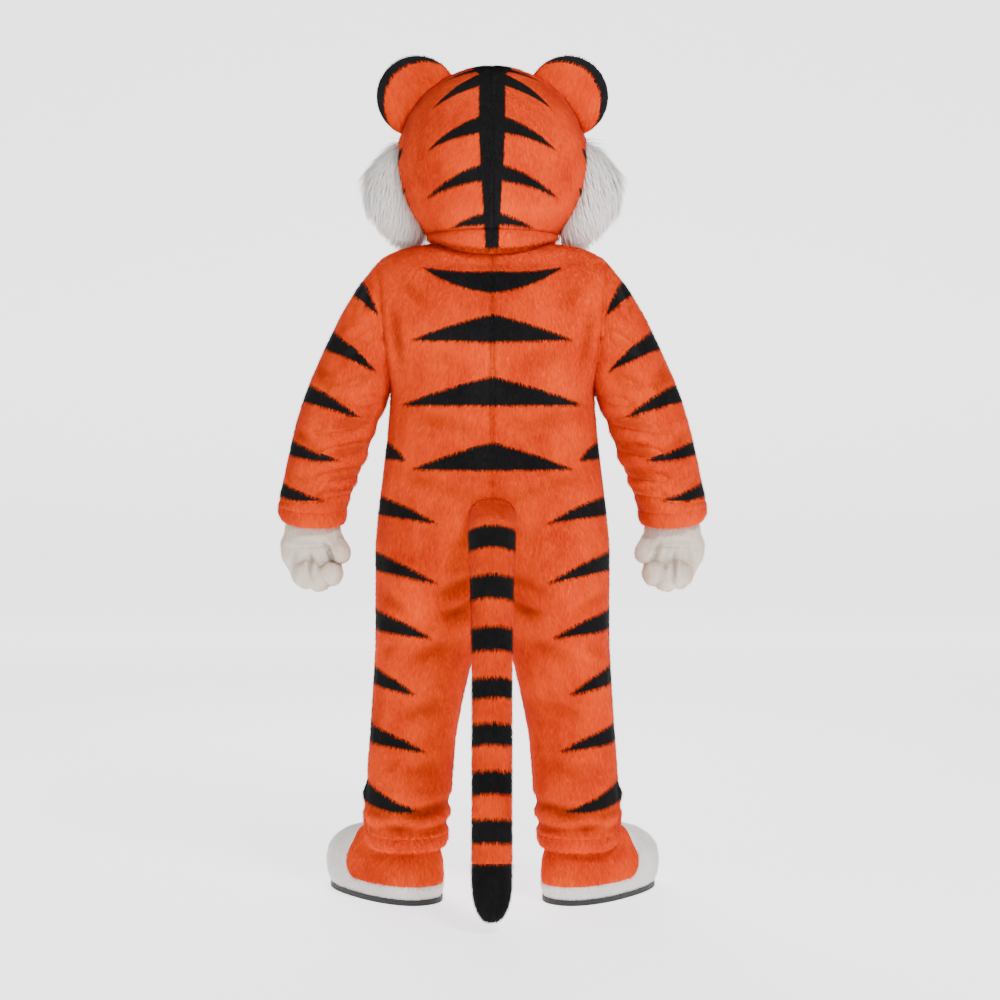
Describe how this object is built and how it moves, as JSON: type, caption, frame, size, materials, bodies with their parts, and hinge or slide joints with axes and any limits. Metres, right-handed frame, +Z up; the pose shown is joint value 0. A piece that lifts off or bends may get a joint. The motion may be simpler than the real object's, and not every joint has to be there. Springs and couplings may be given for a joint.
{
  "type": "tiger mascot costume",
  "caption": "Full-body tiger mascot costume in orange plush with black stripes: hollow head, fur suit, tail, gloves and boots, standing as it is worn.",
  "frame": {"origin": "midway between the points of the shoulders, where the costume hangs on its wearer", "axes": "+Z up, -Y the way the costume faces, +X towards its left sleeve"},
  "size_m": [0.976, 0.6411, 1.898],
  "materials": {
    "orange_fur": "short orange plush with black stripes",
    "black_fur": "short black plush",
    "white_fur": "short white plush",
    "long_fur": "long white fur",
    "cream_plush": "short cream plush over padding",
    "sole_rubber": "matt black rubber",
    "eye": "glossy white plastic",
    "nose": "dark satin plastic"
  },
  "bodies": {
    "root": {"back_panel_left": "orange_fur", "back_panel_right": "orange_fur", "front_panel_left": "orange_fur", "front_panel_right": "orange_fur", "sleeve_left": "orange_fur", "sleeve_right": "orange_fur", "sleeve_hem_left": "orange_fur", "sleeve_hem_right": "orange_fur", "leg_hem_left": "orange_fur", "leg_hem_right": "orange_fur", "head_back_left": "orange_fur", "head_back_right": "orange_fur", "face_left": "orange_fur", "face_right": "orange_fur", "ear_left": "orange_fur", "ear_right": "orange_fur", "boot_upper_left": "orange_fur", "boot_upper_right": "orange_fur", "neckband": "orange_fur", "neck_roll": "orange_fur", "tail": "orange_fur", "tail_tip": "black_fur", "ear_rim_left": "black_fur", "ear_rim_right": "black_fur", "cheek_fur_left": "long_fur", "cheek_fur_right": "long_fur", "muzzle": "white_fur", "nose": "nose", "eye_left": "eye", "eye_right": "eye", "pupil_left": "nose", "pupil_right": "nose", "glove_left": "cream_plush", "glove_right": "cream_plush", "boot_trim_left": "white_fur", "boot_trim_right": "white_fur", "boot_sole_left": "sole_rubber", "boot_sole_right": "sole_rubber"}
  },
  "joints": []
}
